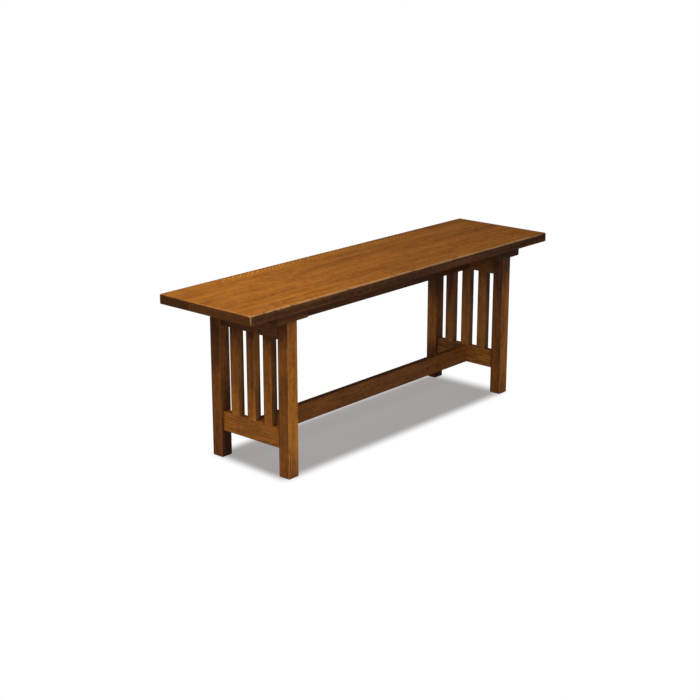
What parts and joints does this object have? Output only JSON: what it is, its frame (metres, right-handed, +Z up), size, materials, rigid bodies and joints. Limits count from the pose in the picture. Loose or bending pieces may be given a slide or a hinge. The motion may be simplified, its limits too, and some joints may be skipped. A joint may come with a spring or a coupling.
{
  "type": "trestle bench",
  "caption": "Oak trestle bench: a boarded seat on cleats over two slatted end frames, tied by a lower and an upper stretcher.",
  "frame": {"origin": "on the floor under the middle of the seat, at the bottom centre of the bench's box", "axes": "+X along the bench's length, +Y across it from front to back, +Z up"},
  "size_m": [1.2192, 0.3174, 0.4572],
  "materials": {
    "seat_oak": "warm brown stained oak, satin clear coat, grain along the bench",
    "frame_oak": "warm brown stained oak, satin clear coat, grain along each piece",
    "screw_steel": "zinc-plated steel"
  },
  "bodies": {
    "root": {"seat_board_1": "seat_oak", "seat_board_2": "seat_oak", "seat_board_3": "seat_oak", "cleat_left": "frame_oak", "leg_front_left": "frame_oak", "leg_back_left": "frame_oak", "lower_rail_left": "frame_oak", "upper_rail_left": "frame_oak", "slat_left_1": "frame_oak", "slat_left_2": "frame_oak", "slat_left_3": "frame_oak", "cleat_right": "frame_oak", "leg_front_right": "frame_oak", "leg_back_right": "frame_oak", "lower_rail_right": "frame_oak", "upper_rail_right": "frame_oak", "slat_right_1": "frame_oak", "slat_right_2": "frame_oak", "slat_right_3": "frame_oak", "lower_stretcher": "frame_oak", "upper_stretcher": "frame_oak", "seat_screws_left": "screw_steel", "seat_screws_right": "screw_steel"}
  },
  "joints": []
}
